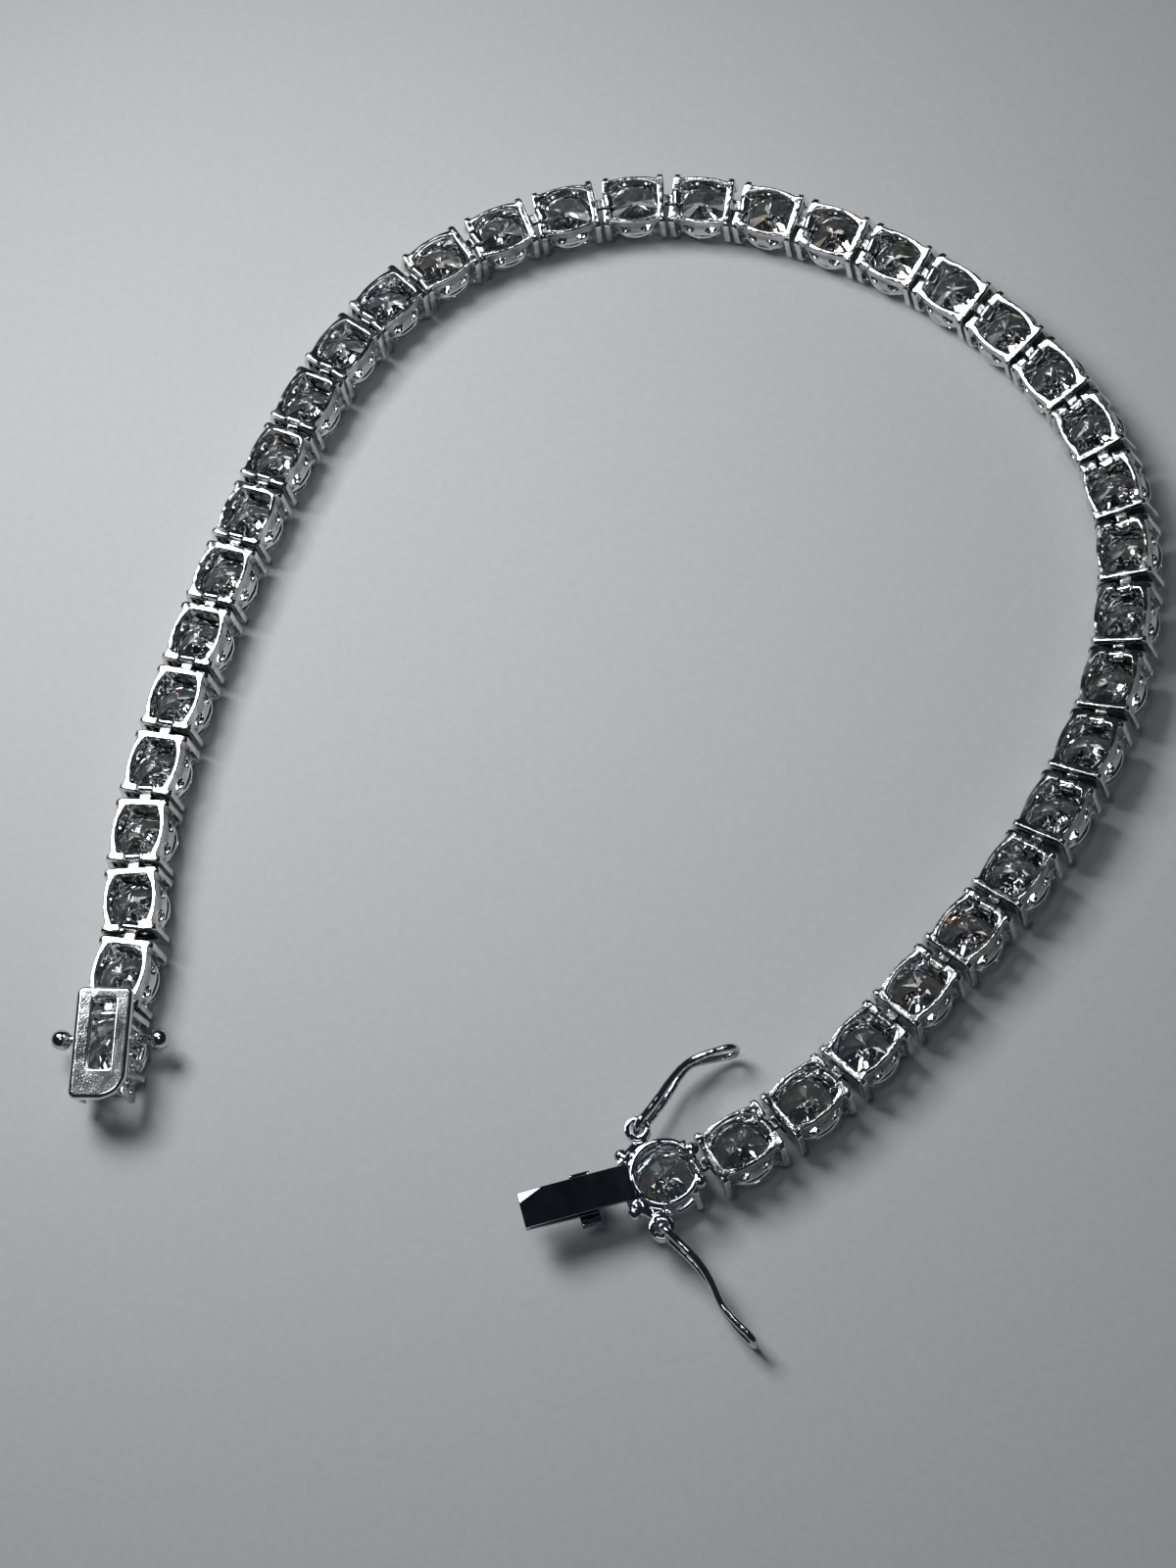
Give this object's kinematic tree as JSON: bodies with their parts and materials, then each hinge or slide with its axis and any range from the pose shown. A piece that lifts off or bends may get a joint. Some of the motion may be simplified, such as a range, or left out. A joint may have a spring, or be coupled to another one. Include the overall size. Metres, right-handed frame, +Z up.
{
  "type": "tennis bracelet",
  "caption": "Open tennis bracelet of hooked four-prong links with round stones, a slotted box clasp, a folded tongue and two wire safety latches, lying face down.",
  "frame": {"origin": "middle of the whole outline, on the surface that the bracelet lies on", "axes": "+Z up, out of the backs of the settings; the clasp box is towards -X and the tongue points to -X at the near side, -Y"},
  "size_m": [0.074, 0.0814, 0.0039],
  "materials": {
    "link_silver": "polished white metal round clear stones",
    "clasp_silver": "satin back plate, polished edges and walls",
    "station_silver": "mirror polish",
    "latch_silver": "mirror polish"
  },
  "bodies": {
    "chain": {"clasp_box": "clasp_silver", "link_01": "link_silver", "link_02": "link_silver", "link_03": "link_silver", "link_04": "link_silver", "link_05": "link_silver", "link_06": "link_silver", "link_07": "link_silver", "link_08": "link_silver", "link_09": "link_silver", "link_10": "link_silver", "link_11": "link_silver", "link_12": "link_silver", "link_13": "link_silver", "link_14": "link_silver", "link_15": "link_silver", "link_16": "link_silver", "link_17": "link_silver", "link_18": "link_silver", "link_19": "link_silver", "link_20": "link_silver", "link_21": "link_silver", "link_22": "link_silver", "link_23": "link_silver", "link_24": "link_silver", "link_25": "link_silver", "link_26": "link_silver", "link_27": "link_silver", "link_28": "link_silver", "link_29": "link_silver", "link_30": "link_silver", "link_31": "link_silver", "link_32": "link_silver", "link_33": "link_silver", "link_34": "link_silver", "link_35": "link_silver", "link_36": "link_silver", "tongue_station": "station_silver"},
    "left_latch": {"safety_latch_left": "latch_silver"},
    "right_latch": {"safety_latch_right": "latch_silver"}
  },
  "joints": [
    {"name": "left_latch_swing", "type": "hinge", "parent": "chain", "child": "left_latch", "pos_m": [-0.00351, -0.03337, 0.0023], "axis": [0, 0, 1], "range_deg": [-114.5, 35.5]},
    {"name": "right_latch_swing", "type": "hinge", "parent": "chain", "child": "right_latch", "pos_m": [-0.00372, -0.02738, 0.0023], "axis": [0, 0, 1], "range_deg": [-12.2, 137.8]}
  ]
}
